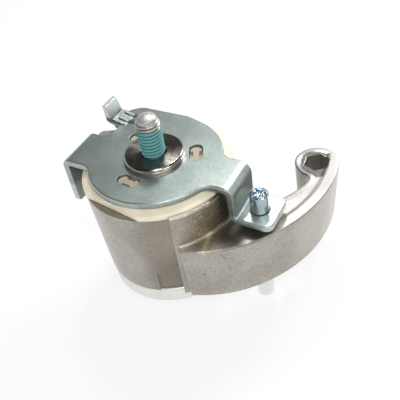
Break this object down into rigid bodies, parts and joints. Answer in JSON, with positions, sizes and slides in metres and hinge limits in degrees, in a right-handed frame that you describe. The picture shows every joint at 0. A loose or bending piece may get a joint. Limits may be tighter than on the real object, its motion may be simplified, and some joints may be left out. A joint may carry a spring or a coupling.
{
  "type": "timing belt tensioner",
  "caption": "Spring-loaded timing belt tensioner: cast drum with a curved hexagon-socket arm, bent steel base plate, central bolt and a lock pin.",
  "frame": {"origin": "bolt axis at the flange face that seats on the engine", "axes": "+Z along the bolt's thread into the engine, +X from the bolt towards the hexagon boss at the arm's end, +Y away from the side the picture was taken from"},
  "size_m": [0.0938, 0.0614, 0.0695],
  "materials": {
    "zinc_sheet": "speckled zinc plating, blue-green grey, satin",
    "ground_steel": "turned and polished steel",
    "cream_plastic": "cream moulded plastic, satin",
    "cast_aluminium": "die-cast, warm satin grey",
    "bolt_steel": "bare steel with teal threadlocker on the thread",
    "zinc_pin": "bright zinc",
    "zinc_disc": "zinc plated, pale grey-green",
    "spring_steel": "oiled spring wire",
    "bronze_liner": "sliding bush, lined",
    "friction_material": "pressed friction lining",
    "washer_plastic": "plain moulded plastic"
  },
  "bodies": {
    "base": {"base_plate": "zinc_sheet", "pivot_shaft": "ground_steel", "spring_bush": "cream_plastic", "front_disc": "zinc_disc", "torsion_spring": "spring_steel", "friction_lining": "friction_material", "hub_washer": "washer_plastic"},
    "arm": {"tension_arm": "cast_aluminium", "pivot_bush": "bronze_liner"},
    "bolt": {"mounting_bolt": "bolt_steel"},
    "pin": {"lock_pin": "zinc_pin"}
  },
  "joints": [
    {"name": "arm_pivot", "type": "hinge", "parent": "base", "child": "arm", "pos_m": [0, 0, -0.025], "axis": [0, 0, 1], "range_deg": [-30, 0], "stiffness_Nm_per_rad": 5, "springref_deg": 68.75, "deforming": ["torsion_spring"]},
    {"name": "bolt_turn", "type": "hinge", "parent": "base", "child": "bolt", "pos_m": [0, 0, -0.025], "axis": [0, 0, 1], "continuous": true},
    {"name": "pin_pull", "type": "slide", "parent": "base", "child": "pin", "axis": [0, 0, -1], "range_m": [0, 0.042]}
  ]
}
